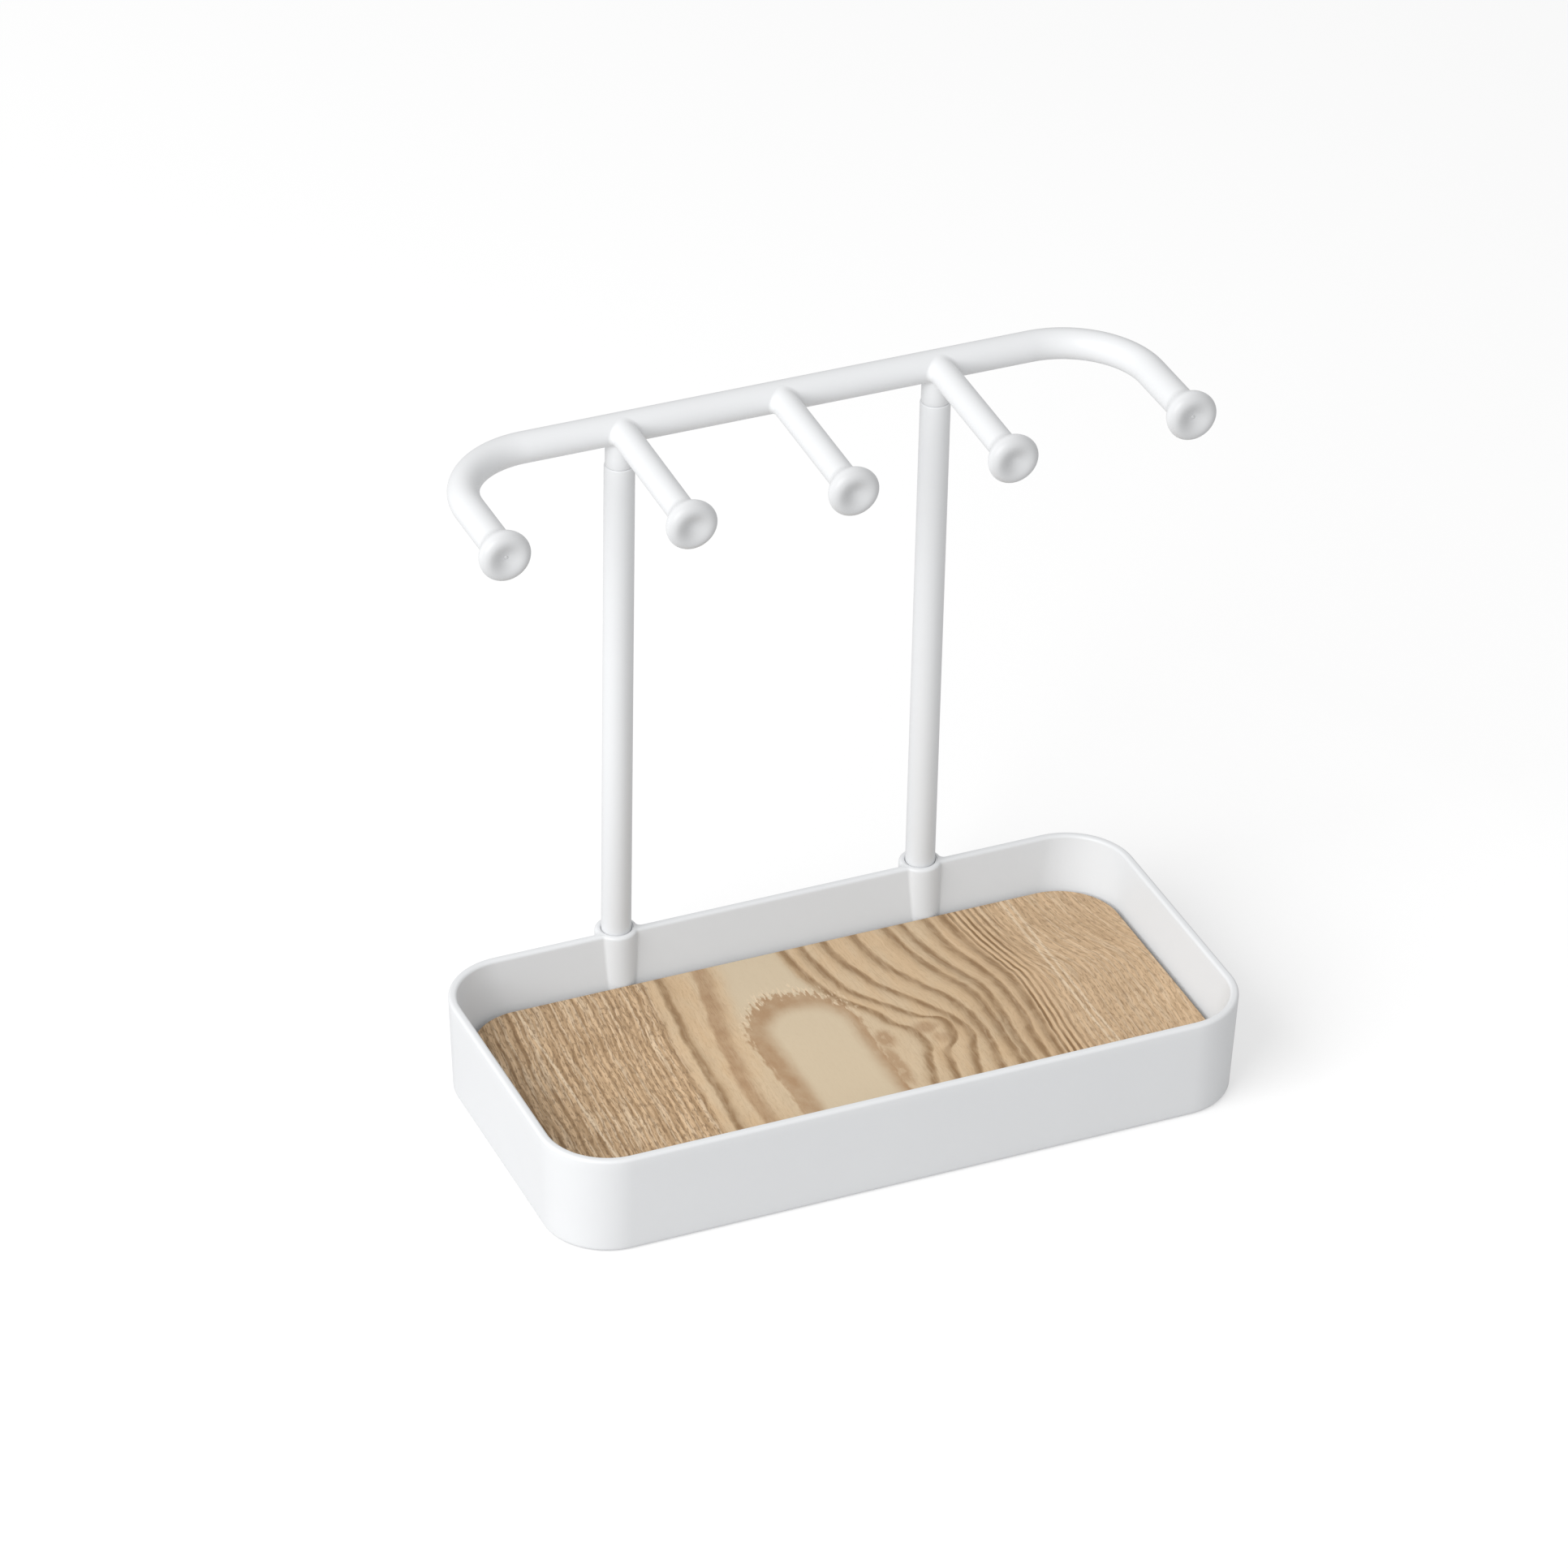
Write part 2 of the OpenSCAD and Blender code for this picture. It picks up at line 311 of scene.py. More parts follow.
def quads(rows, columns, first, round_rows):
    """Corner numbers of a grid's quads. It is closed round its columns, and round its rows if asked."""
    r = np.arange(rows if round_rows else rows - 1)[:, None]
    c = np.arange(columns)[None, :]
    r1, c1 = (r + 1) % rows, (c + 1) % columns
    corners = [r * columns + c, r * columns + c1, r1 * columns + c1, r1 * columns + c]
    return first + np.stack(corners, axis=-1).reshape(-1, 4)


# ---------------------------------------------------------------- node helpers

class Nodes:
    """A node tree and short ways to add to it. A value is a node's output or a plain one."""

    def __init__(self, tree):
        self.tree = tree

    def fill(self, node, inputs):
        """Sets inputs by their names or numbers: links an output to them, or sets a plain value."""
        for key, value in inputs.items():
            if isinstance(value, bpy.types.NodeSocket):
                self.tree.links.new(value, node.inputs[key])
            else:
                node.inputs[key].default_value = value

    def add(self, kind, inputs=None, **settings):
        """Adds a node with its settings and inputs."""
        node = self.tree.nodes.new(kind)
        for key, value in settings.items():
            setattr(node, key, value)
        self.fill(node, inputs or {})
        return node

    def calc(self, operation, *values):
        """One step of arithmetic."""
        return self.add("ShaderNodeMath", dict(enumerate(values)), operation=operation).outputs[0]

    def fold(self, operation, first, *others):
        """The same step of arithmetic over all values."""
        for value in others:
            first = self.calc(operation, first, value)
        return first

    plus = partialmethod(fold, "ADD")
    times = partialmethod(fold, "MULTIPLY")
    most = partialmethod(fold, "MAXIMUM")
    minus = partialmethod(calc, "SUBTRACT")
    over = partialmethod(calc, "DIVIDE")
    absolute = partialmethod(calc, "ABSOLUTE")
    scaled = partialmethod(calc, "MULTIPLY_ADD")  # a value, its factor and what is added

    def hypotenuse(self, a, b):
        """The root of a squared plus b squared."""
        return self.calc("SQRT", self.plus(self.times(a, a), self.times(b, b)))

    def ramp(self, value, low, high, to_low=0.0, to_high=1.0, kind="SMOOTHSTEP"):
        """Value's range low to high taken to another range, smoothly unless kind says otherwise."""
        return self.add("ShaderNodeMapRange", {
            "Value": value, "From Min": low, "From Max": high, "To Min": to_low, "To Max": to_high},
            interpolation_type=kind).outputs[0]

    def curve(self, value, points):
        """The smooth curve through (value, result) points, level beyond its ends."""
        xs, ys = zip(*points)
        low, high = min(ys), max(ys)
        node = self.add("ShaderNodeFloatCurve", {"Value": self.ramp(value, xs[0], xs[-1], kind="LINEAR")})
        drawn = node.mapping.curves[0].points
        scaled = [((x - xs[0]) / (xs[-1] - xs[0]), (y - low) / (high - low)) for x, y in points]
        drawn[0].location, drawn[1].location = scaled[0], scaled[-1]
        for place in scaled[1:-1]:
            drawn.new(*place)
        for point in drawn:
            point.handle_type = "AUTO_CLAMPED"
        node.mapping.update()
        return self.ramp(node.outputs[0], 0, 1, low, high, kind="LINEAR")

    def mix(self, factor, a, b):
        """Colour a turned into colour b by the factor. The Mix node's colours go by their numbers."""
        a, b = (c if isinstance(c, bpy.types.NodeSocket) else (*c, 1.0) for c in (a, b))
        return self.add("ShaderNodeMix", {"Factor": factor, 6: a, 7: b}, data_type="RGBA").outputs[2]

    def noise(self, place, scale, detail):
        """Soft noise round one half."""
        inputs = {"Vector": place, "Scale": scale, "Detail": detail}
        return self.add("ShaderNodeTexNoise", inputs).outputs["Fac"]


def blank_material(name):
    """A new material, its nodes and its Principled shader."""
    material = bpy.data.materials.new(name)
    material.use_nodes = True
    return material, Nodes(material.node_tree), material.node_tree.nodes["Principled BSDF"]


def new_group(name, inputs, outputs):
    """An empty node group. Its inputs and outputs are names with defaults, and None marks a vector."""
    group = bpy.data.node_groups.new(name, "ShaderNodeTree")
    for side, sockets in (("INPUT", inputs), ("OUTPUT", outputs)):
        for label, default in sockets.items():
            kind = "NodeSocketVector" if default is None else "NodeSocketFloat"
            socket = group.interface.new_socket(name=label, in_out=side, socket_type=kind)
            if default is not None:
                socket.default_value = default
    nodes = Nodes(group)
    return nodes, nodes.add("NodeGroupInput").outputs, nodes.add("NodeGroupOutput")


def fine_grain_group():
    """Fine moulded or sanded skin: a slow mottle, a fine grain, and the normal that both give."""
    group = bpy.data.node_groups.get("Fine grain")
    if group:
        return group
    n, given, out = new_group(
        "Fine grain", {"Vector": None, "Mottle Scale": 60.0, "Grain Scale": 2500.0, "Relief": 0.2,
                       "Smooth": 0.3, "Rough": 0.4},
        {"Mottle": 0.0, "Roughness": 0.0, "Normal": None})
    mottle = n.noise(given["Vector"], given["Mottle Scale"], 3.0)
    grain = n.noise(given["Vector"], given["Grain Scale"], 2.0)
    both = n.scaled(mottle, 0.6, n.times(grain, 0.4))
    bump = n.add("ShaderNodeBump", {"Strength": given["Relief"], "Distance": 0.05 * MM, "Height": both})
    roughness = n.ramp(both, 0.3, 0.7, given["Smooth"], given["Rough"], kind="LINEAR")
    n.fill(out, {"Mottle": mottle, "Roughness": roughness, "Normal": bump.outputs["Normal"]})
    return n.tree


def streak_group():
    """Noise drawn out along the wood. Level counts across the rings and along down the board, in mm."""
    group = bpy.data.node_groups.get("Streaks")
    if group:
        return group
    n, given, out = new_group(
        "Streaks", {"Level": 0.0, "Along": 0.0, "Across Scale": 1.0, "Along Scale": 0.05, "Low": 0.4,
                    "High": 0.6}, {"Streak": 0.0})
    place = n.add("ShaderNodeCombineXYZ", {"X": n.times(given["Level"], given["Across Scale"]),
                                           "Y": n.times(given["Along"], given["Along Scale"])})
    noise = n.add("ShaderNodeTexNoise", {"Vector": place.outputs[0], "Scale": 1.0, "Detail": 3.0,
                                         "Roughness": 0.55}, noise_dimensions="2D")
    n.fill(out, {"Streak": n.ramp(noise.outputs["Fac"], given["Low"], given["High"])})
    return n.tree


def skin_of(n, place, mottle, grain, relief, smooth, rough):
    """The fine skin with its scales, its relief and its range of roughness, as a node's outputs."""
    return n.add("ShaderNodeGroup", {
        "Vector": place, "Mottle Scale": mottle, "Grain Scale": grain, "Relief": relief, "Smooth": smooth,
        "Rough": rough}, node_tree=fine_grain_group()).outputs


def plastic_material(name, colours):
    """White moulded plastic: satin, faintly mottled, very finely grained, darkened by painted shade on the
    knobs' faces.
    """
    material, n, shader = blank_material(name)
    place = n.add("ShaderNodeTexCoord").outputs["Object"]
    skin = skin_of(n, place, mottle=45.0, grain=3200.0, relief=0.12, smooth=0.34, rough=0.44)
    tone = n.mix(skin["Mottle"], colours.plastic, colours.plastic_dust)
    split = n.add("ShaderNodeSeparateXYZ", {"Vector": place}).outputs
    # painted shade: on the knobs' faces and dishes, high on the rail, the plastic turns to the knob-face
    # colour, fading out behind the face
    faces = n.ramp(split["Y"], *(rail_low.y + depth for depth in PAINTED_SHADE_FADE), 1, 0)
    painted_shade = n.times(n.ramp(split["Z"], *HEIGHT_OF_RAIL), faces)
    n.fill(shader, {"Base Color": n.mix(painted_shade, tone, colours.painted_knob_shade),
                    "Roughness": skin["Roughness"], "Normal": skin["Normal"], "IOR": 1.46})
    material.diffuse_color = (*colours.plastic, 1.0)
    return material


# ---------------------------------------------------------------- wood

# Places along the board in mm, and where each dark grain line crosses them, from the arch outwards
ALONG = (-50, -22, -16, -10, -4, 2, 8, 14, 20, 26, 32, 38, 50)
RIGHT_LINES = [
    (10.5, 16.5, 18.4, 20.2, 19.2, 15, 12.8, 8.7, 5.5, 3.8, 2.3, 1.8, 1.3),
    (18, 22.5, 24, 28.7, 29.4, 23.3, 18.8, 14.2, 10.7, 9, 8, 7.1, 6.5),
    (21, 29.6, 31.6, 33.4, 32.5, 29.8, 26.2, 22.4, 18.8, 16.8, 14.9, 13.9, 13),
    (31, 35.5, 36.4, 36.9, 36.9, 36, 34.2, 30.8, 27.9, 25.2, 23.6, 22.7, 21.8),
    (39, 40.8, 41, 41.6, 41.8, 42, 41.3, 39, 36.4, 34.6, 33.1, 32.3, 31.7),
    (42.5, 43.5, 43.6, 44.2, 44.9, 45.2, 45, 43.2, 40.8, 39.4, 38.2, 37.2, 36.2),
    (47, 48.2, 48.6, 49.5, 50, 50, 49.8, 48.7, 47.2, 45.4, 44.4, 44.1, 43.7),
    (51, 52.3, 52.7, 53.3, 53.7, 54, 54.2, 53.3, 52, 50.7, 49.8, 49.2, 48.6)]
LEFT_BAND = (-35.5, -35.2, -35.2, -35.1, -34.6, -33.5, -33.3, -31.8, -30.9, -29.2, -28.6, -27, -26.2)
LEFT_LINE = (-43, -41.5, -40.9, -40.4, -40.3, -39.9, -39.5, -39.2, -38.4, -37.6, -37.1, -36.2, -35.4)
# About where the left line and the fifth right line run, in mm
LEFT_MEAN, RIGHT_MEAN = -39.5, 40.0
# How dark a line is at each distance in mm, from its soft inner side to its crisp outer side
LINE_PROFILE = [(-4, 0), (-2.8, 0.12), (-1.7, 0.38), (-0.8, 0.85), (0, 1),
                (0.6, 0.8), (1.1, 0.3), (1.6, 0), (3, 0)]
# Beyond the outermost of these lines, the number of finer lines within each distance in mm
BEYOND_RIGHT = [(0, 0), (9, 4.7), (20, 9.4), (50, 23)]
BEYOND_LEFT = [(0, 0), (5, 1), (23, 10), (34, 15), (55, 23)]
# How strong the finer lines are across the board
LINE_STRENGTH = [(-95, 1), (-82, 0.9), (-62, 0.7), (-42, 0.7),
                 (48, 1.25), (57, 1.15), (64, 0.35), (95, 0.15)]
# Where thin bright lines run down the board
BRIGHT_LINES = (-76.8, 66.6, 68.6)
# The arch: its middle and its half width across the board, where it starts to round and its depth, in mm
ARCH_MIDDLE, ARCH_HALF, ARCH_START, ARCH_DEPTH = -8.0, 15.6, 6.0, 19.0
# Brown spots: place across and along, half width and half length in mm, where the core ends, strength
SWIRL = [(22.6, -3.5, 4.5, 3.6, 0.35, 0.9), (25.5, -9.0, 3.4, 3.4, 0.4, 0.6)]
EYE = (26.3, -6.2, 2.4, 2.2)  # the swirl's pale eye
LEG = [(10.4, -4.5, 3.4, 5.5, 0.4, 1.0), (8.8, -17.0, 3.0, 12.0, 0.4, 0.95),
       (6.0, 5.0, 1.7, 11.0, 0.4, 0.8)]


class Wood(Nodes):
    """The wood's nodes, and what its parts share: places in mm, across and along the board from its middle.

    Each dark line is a curve across(along). A point's distance from it is wandered - curve(along), where
    wandered is across with a small wander added. Straightened is wandered without the bend of the lines
    beside it, and the streaks follow it.
    """

    def __init__(self, tree):
        super().__init__(tree)
        self.place = self.add("ShaderNodeMapping", {
            "Vector": self.add("ShaderNodeTexCoord").outputs["Object"],
            "Scale": (1 / MM, 1 / MM, 1 / MM), "Location": (0, -TRAY_Y / MM, 0)}).outputs[0]
        split = self.add("ShaderNodeSeparateXYZ", {"Vector": self.place}).outputs
        self.across, self.along = split["X"], split["Y"]
        calmer_ends = self.ramp(self.absolute(self.across), 40, 60, 1.2, 0.5)
        quick = self.times(self.minus(self.cloud(0.5, 0.25, 4.0), 0.5), calmer_ends)
        slow = self.times(self.cloud(0.05, 0.03), 1.2)
        self.wandered = self.plus(self.across, self.plus(slow, quick, -0.6))
        self.right_lines = [self.line_at(places) for places in RIGHT_LINES]
        self.left_band, self.left_line = self.line_at(LEFT_BAND), self.line_at(LEFT_LINE)
        self.past_right = self.minus(self.wandered, self.right_lines[-1])
        self.past_left = self.minus(self.left_line, self.wandered)
        bend_right = self.times(self.ramp(self.across, 0, 40),
                                self.minus(self.right_lines[4], RIGHT_MEAN))
        bend = self.scaled(self.ramp(self.across, -45, -10, 1, 0), self.minus(self.left_line, LEFT_MEAN),
                           bend_right)
        self.straightened = self.minus(self.wandered, bend)

    def cloud(self, scale_across, scale_along, detail=2.0):
        """Noise round one half, with its own scale in each direction."""
        scales = {"Vector": self.place, "Scale": (scale_across, scale_along, 0.02)}
        return self.noise(self.add("ShaderNodeMapping", scales).outputs[0], 1.0, detail)

    def line_at(self, places):
        """Where a line crosses the board, given its places at ALONG."""
        return self.curve(self.along, list(zip(ALONG, places)))

    def oval(self, x, y, half_x, half_y):
        """Distance from (x, y) in an oval's own measure, which is 1 all round its edge."""
        return self.hypotenuse(self.over(self.minus(self.wandered, x), half_x),
                               self.over(self.minus(self.along, y), half_y))

    def spots(self, places):
        """Soft oval spots, the strongest of them at each point."""
        return self.most(*[self.ramp(self.oval(*oval), core, 1.1, strength, 0)
                           for *oval, core, strength in places])

    def streak(self, across_scale, along_scale, low, high):
        """Streaks that follow the lines, from 0 to 1."""
        inputs = {"Level": self.straightened, "Along": self.along, "Across Scale": across_scale,
                  "Along Scale": along_scale, "Low": low, "High": high}
        return self.add("ShaderNodeGroup", inputs, node_tree=streak_group()).outputs["Streak"]


def dark_lines(w):
    """The lines beside the arch, broken a little along their length."""
    apart = [w.minus(w.wandered, place) for place in w.right_lines] + [w.past_left]
    drawn = w.most(*[w.curve(distance, LINE_PROFILE) for distance in apart])
    return w.times(drawn, w.scaled(w.streak(0.4, 0.15, 0.35, 0.6), 0.3, 0.7))


def fine_lines(w):
    """The finer lines at the board's ends. One lies wherever their count is a whole number."""
    count = w.plus(w.curve(w.past_right, BEYOND_RIGHT), w.curve(w.past_left, BEYOND_LEFT))
    from_half = w.absolute(w.minus(w.calc("FRACT", count), 0.5))
    return w.times(w.ramp(from_half, 0.14, 0.42), w.ramp(count, 0.2, 0.6), w.curve(w.across, LINE_STRENGTH),
                   w.scaled(w.streak(0.4, 0.05, 0.35, 0.6), 0.4, 0.6))


def left_brown_band(w):
    """The soft brown band along the left of the arch, 5 to 6 mm wide."""
    beside = w.minus(w.wandered, w.left_band)
    share = w.over(beside, w.ramp(w.along, -20, 10, 5.0, 6.0, kind="LINEAR"))
    return w.times(w.ramp(beside, -0.3, 1.0), w.ramp(share, 0.5, 1.15, 1, 0),
                   w.scaled(w.cloud(0.35, 0.25, 3.0), 0.9, 0.4))


def arch_measure(w):
    """The arch: 1 is its outer edge, beside its middle line in front and all round it behind its start."""
    sideways = w.over(w.minus(w.wandered, ARCH_MIDDLE), ARCH_HALF)
    ahead = w.over(w.most(w.minus(w.along, ARCH_START), 0.0), ARCH_DEPTH)
    return w.hypotenuse(sideways, ahead)


def arch_band(w, arch):
    """The brown band inside the arch's toothed edge, and the pale hairs between its teeth."""
    teeth = w.times(w.minus(w.cloud(1.1, 0.35, 3.0), 0.5), w.ramp(w.along, 0, 20, 0.2, 0.6))
    toothed = w.plus(arch, teeth)
    soft_side = w.minus(arch, w.ramp(w.across, -8, 5, 0.0, 0.2))
    band = w.times(w.ramp(soft_side, w.ramp(w.along, 4, 20, 0.46, 0.42), 0.8),
                   w.ramp(toothed, 0.96, 1.06, 1, 0), w.scaled(w.cloud(0.3, 0.2, 3.0), 0.9, 0.45))
    hairs = w.times(w.ramp(toothed, 0.94, 1.04), w.ramp(toothed, 1.04, 1.25, 1, 0), w.ramp(w.along, 5, 18),
                    w.ramp(w.cloud(1.8, 0.5), 0.5, 0.62))
    return band, hairs


def brown_blotches(w):
    """The swirl between the first two lines, with its pale eye, and the blotches on the arch's leg."""
    swirl = w.times(w.spots(SWIRL), w.ramp(w.oval(*EYE), 0.3, 1.0))
    leg = w.times(w.spots(LEG), w.ramp(w.cloud(0.6, 0.35, 3.0), 0.35, 0.5, 0.6, 1.0))
    return w.times(w.most(swirl, leg), 0.85)


def bright_lines(w):
    """The thin bright lines, broken along their length."""
    apart = [w.absolute(w.minus(w.wandered, place)) for place in BRIGHT_LINES]
    drawn = w.most(*[w.ramp(distance, 0.15, 0.6, 1, 0) for distance in apart])
    return w.times(drawn, w.scaled(w.cloud(0.4, 0.08), 0.6, 0.5))


def wood_ground(w, colours, outside):
    """The wood without its lines: cream in and behind the arch, blush between the lines, tan at the ends.

    The second value says how strong the streaks are there: weak in the middle and weaker in the cream.
    """
    ends = w.most(w.ramp(w.past_right, 4, 12, 0, 0.6), w.ramp(w.past_left, 2.5, 6))
    behind_arch = w.times(w.ramp(w.minus(w.wandered, w.left_band), 4.5, 11),
                          w.ramp(w.minus(w.right_lines[0], w.wandered), 0.5, 3.5))
    cream = w.most(w.minus(1.0, outside), w.times(behind_arch, w.ramp(w.along, 8, 26, 0.35, 1.0)))
    warm = w.ramp(w.cloud(0.16, 0.06, 3.0), 0.35, 0.65)
    ground = w.mix(w.times(warm, 0.4), colours.blush, colours.cream)
    ground = w.mix(w.most(ends, w.ramp(w.past_right, -12, 4, 0, 0.95)), ground, colours.tan)
    calm = w.times(w.scaled(ends, 0.8, 0.2), w.scaled(cream, -0.85, 1.0))
    return w.mix(cream, ground, colours.cream), calm


def wood_material(name, colours):
    """Oiled pale wood: fine straight lines at both ends, and between them an arch of broad rings.

    Over the ground lie layers, each a colour mixed in by its cover.
    """
    material, n, shader = blank_material(name)
    w = Wood(n.tree)
    arch = arch_measure(w)
    outside = w.ramp(arch, 0.9, 1.0)
    band, hairs = arch_band(w, arch)
    dark = w.times(w.most(dark_lines(w), fine_lines(w)), outside)
    wood, calm = wood_ground(w, colours, outside)
    pores = w.streak(1.7, 0.4, 0.53, 0.66)
    for cover, colour in (
            (w.times(w.streak(0.28, 0.02, 0.35, 0.65), calm, 0.22), colours.ring),
            (w.times(w.streak(0.9, 0.07, 0.47, 0.62), calm, 0.35), colours.ring),
            (w.most(band, left_brown_band(w), brown_blotches(w)), colours.brown),
            (w.times(dark, 0.9), colours.ring),
            (w.times(w.streak(0.9, 0.035, 0.52, 0.64), calm, 0.55), colours.glint),
            (w.times(w.streak(2.0, 0.12, 0.47, 0.62), calm, 0.35), colours.ring),
            (bright_lines(w), colours.glint),
            (w.times(hairs, 0.7), colours.glint),
            (w.times(pores, calm, 0.5), colours.pore)):
        wood = w.mix(cover, wood, colour)
    skin = skin_of(w, w.place, mottle=0.08, grain=2.5, relief=0.3, smooth=0.5, rough=0.62)
    height = w.scaled(w.times(pores, calm), -0.6, w.times(dark, -0.6))
    relief = w.add("ShaderNodeBump", {"Strength": 0.8, "Distance": 0.2 * MM, "Height": height,
                                      "Normal": skin["Normal"]})
    # the light that the wood throws on the white walls beside it is kept nearly neutral
    thrown = w.add("ShaderNodeLightPath").outputs["Is Diffuse Ray"]
    w.fill(shader, {"Base Color": w.mix(thrown, wood, colours.thrown), "IOR": 1.4,
                    "Roughness": w.scaled(pores, 0.12, skin["Roughness"]),
                    "Normal": relief.outputs["Normal"]})
    material.diffuse_color = (*colours.tan, 1.0)
    return material


# ---------------------------------------------------------------- pieces

MATERIALS = {"white_plastic": ("white moulded plastic", plastic_material),
             "ash_wood": ("oiled pale wood", wood_material)}


def material_of(slot):
    """The material of a slot, which is made when it is first asked for."""
    name, make = MATERIALS[slot]
    return bpy.data.materials.get(name) or make(name, bpy.context.scene.stand_colours)


def new_object(name, data):
    """A new object in the scene."""
    made = bpy.data.objects.new(name, data)
    bpy.context.scene.collection.objects.link(made)
    return made


def make_piece(name, grids, body, nodes, slot, round_rows=False):
    """Makes one mesh from grids of points, each rows by columns by 3, to stand for the CAD nodes.

    Points that coincide are merged, which closes the seams and poles, and the faces turn outwards.
    """
    points = np.concatenate([g.reshape(-1, 3) for g in grids])
    starts = np.cumsum([0] + [g.shape[0] * g.shape[1] for g in grids])
    faces = np.concatenate([quads(*g.shape[:2], first, round_rows) for g, first in zip(grids, starts)])
    mesh = bpy.data.meshes.new(name)
    mesh.from_pydata(points.tolist(), [], faces.tolist())
    shell = bmesh.new()
    shell.from_mesh(mesh)
    bmesh.ops.remove_doubles(shell, verts=shell.verts, dist=WELD)
    bmesh.ops.recalc_face_normals(shell, faces=shell.faces)
    shell.to_mesh(mesh)
    shell.free()
    mesh.polygons.foreach_set("use_smooth", np.ones(len(mesh.polygons), bool))
    mesh.set_sharp_from_angle(angle=CREASE)
    mesh.materials.append(material_of(slot))
    piece = new_object(name, mesh)
    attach(piece, body)
    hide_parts(*nodes)


def edge_steps(count):
    """A quarter circle's two courses over even angles: 1 - sin, from 1 to 0, and 1 - cos, from 0 to 1."""
    turn = np.linspace(0, QUARTER, count)
    return 1 - np.sin(turn), 1 - np.cos(turn)


def cosine_fall(u):
    """Falls from 1 to 0 by a cosine as u goes from 0 to 1."""
    return (1 + np.cos(math.pi * u)) / 2


class STAND_OT_tray(bpy.types.Operator):
    """Makes the moulded tray with its basin, hollow underside and two sockets"""
    bl_idname = "stand.tray"
    bl_label = "Tray"

    def execute(self, context):
        s = context.scene.stand_tray
        mouth = POST_R + s.socket_gap + s.socket_mouth
        hollow, basin = self.hollow(s), self.basin(s)
        skin = np.concatenate([middle_row(hollow[:1]), hollow, self.outside(s), self.rim(s, 1, mouth)])
        bowl = np.concatenate([self.rim(s, -1, mouth), basin, middle_row(basin[-1:])])
        grids = [skin, bowl] + [self.bore(s, side, mouth) for side in (-1, 1)]
        make_piece("moulded_tray", grids, "tray", ["tray"], "white_plastic")
        return {"FINISHED"}

    def hollow(self, s):
        """The underside: the hollow's ceiling and wall, down to the flat ring that the tray stands on."""
        inset = s.recess_inset + s.recess_lean * np.array([1, 0.05, 0])
        rows = tray_outline(s, -1, inset, s.corner - inset, s.socket, s.socket_fillet)
        return lifted(rows, np.array([s.recess_top, NEAR_BASE, 0]))

    def outside(self, s):
        """The rounding round the base, the leaning wall and the outer edge of the rim."""
        out, up = edge_steps(7)
        share = np.linspace(0.1, 0.9, 9)
        low, high = s.base_round, s.height - s.rim_round
        inset = np.concatenate([s.wall_lean + low * out, s.wall_lean * (1 - share),
                                s.rim_round * out[::-1]])
        z = np.concatenate([low * up, low + (high - low) * share, s.height - s.rim_round * up[::-1]])
        shrink = np.concatenate([SOCKET_FOOT * out, 0 * share, s.rim_round * out[::-1]])
        rows = tray_outline(s, 1, inset, s.corner - inset, s.socket - shrink, s.socket_fillet + shrink)
        return lifted(rows, z)

    def rim(self, s, kind, mouth):
        """The middle of the rim, where the posts' bores open."""
        middle = s.rim / 2
        return lifted(tray_outline(s, kind, middle, s.corner - middle, mouth), s.height)

    def basin(self, s):
        """The inner edge of the rim, the basin's wall, its foot and the edge of its floor."""
        out, up = edge_steps(7)
        down = np.linspace(0, 1, 12)[1:]
        high, foot = s.height - s.rim_round, s.floor + s.foot_round
        wall = s.rim + s.basin_lean * down * (high - foot) / (high - s.floor)
        inset = np.concatenate([s.rim - s.rim_round * up[::-1], wall, wall[-1] + s.foot_round * up[1:]])
        z = np.concatenate([s.height - s.rim_round * out[::-1], high + (foot - high) * down,
                            s.floor + s.foot_round * out[1:]])
        shrink = np.append(s.rim_round * up[::-1], np.zeros(len(z) - len(up)))
        to_board = np.clip((high - z) / (high - board_high.z), 0, 1)
        to_floor = np.clip((high - z) / (high - s.floor), 0, 1)
        radius = s.socket + (s.socket_front - s.socket) * to_board - shrink
        corner = s.corner - inset + (s.basin_corner - s.corner + s.rim + s.basin_lean) * to_floor
        return lifted(tray_outline(s, -1, inset, corner, radius, s.socket_fillet + shrink), z)

    def bore(self, s, side, mouth):
        """A socket's bore: round mouth, wall and floor, with its columns on the rim's middle."""
        wall = s.half_depth - s.rim / 2 - (POST_Y - TRAY_Y)
        lean = math.atan2(wall, math.sqrt(mouth ** 2 - wall ** 2))
        step = np.arange(SOCKET_STEPS) / SOCKET_STEPS
        rear, front = math.pi - 2 * lean, math.pi + 2 * lean
        around = np.append(lean + rear * step, -math.pi - lean + front * step)
        out, up = edge_steps(5)
        bore = mouth - s.socket_mouth
        radius = np.append(bore + s.socket_mouth * out, [bore, 0])
        z = np.append(s.height - s.socket_mouth * up, [post_low.z, post_low.z])
        return lathe(radius, z, side * POST_X, POST_Y, around)


class STAND_OT_board(bpy.types.Operator):
    """Makes the wooden board with its sanded edges"""
    bl_idname = "stand.board"
    bl_label = "Board"

    def execute(self, context):
        s = context.scene.stand_tray
        out, up = edge_steps(4)
        half_x, half_y = board_high.x, (board_high.y - board_low.y) / 2
        inset = s.board_edge * np.append(out, out[::-1])
        z = np.append(board_low.z + s.board_edge * up, board_high.z - s.board_edge * up[::-1])
        edge = lifted(rounded_rectangle(half_x - inset, half_y - inset, s.board_corner - inset), z)
        slab = np.concatenate([middle_row(edge[:1]), edge, middle_row(edge[-1:])])
        make_piece("grained_board", [slab], "board", ["wood_board"], "ash_wood")
        return {"FINISHED"}


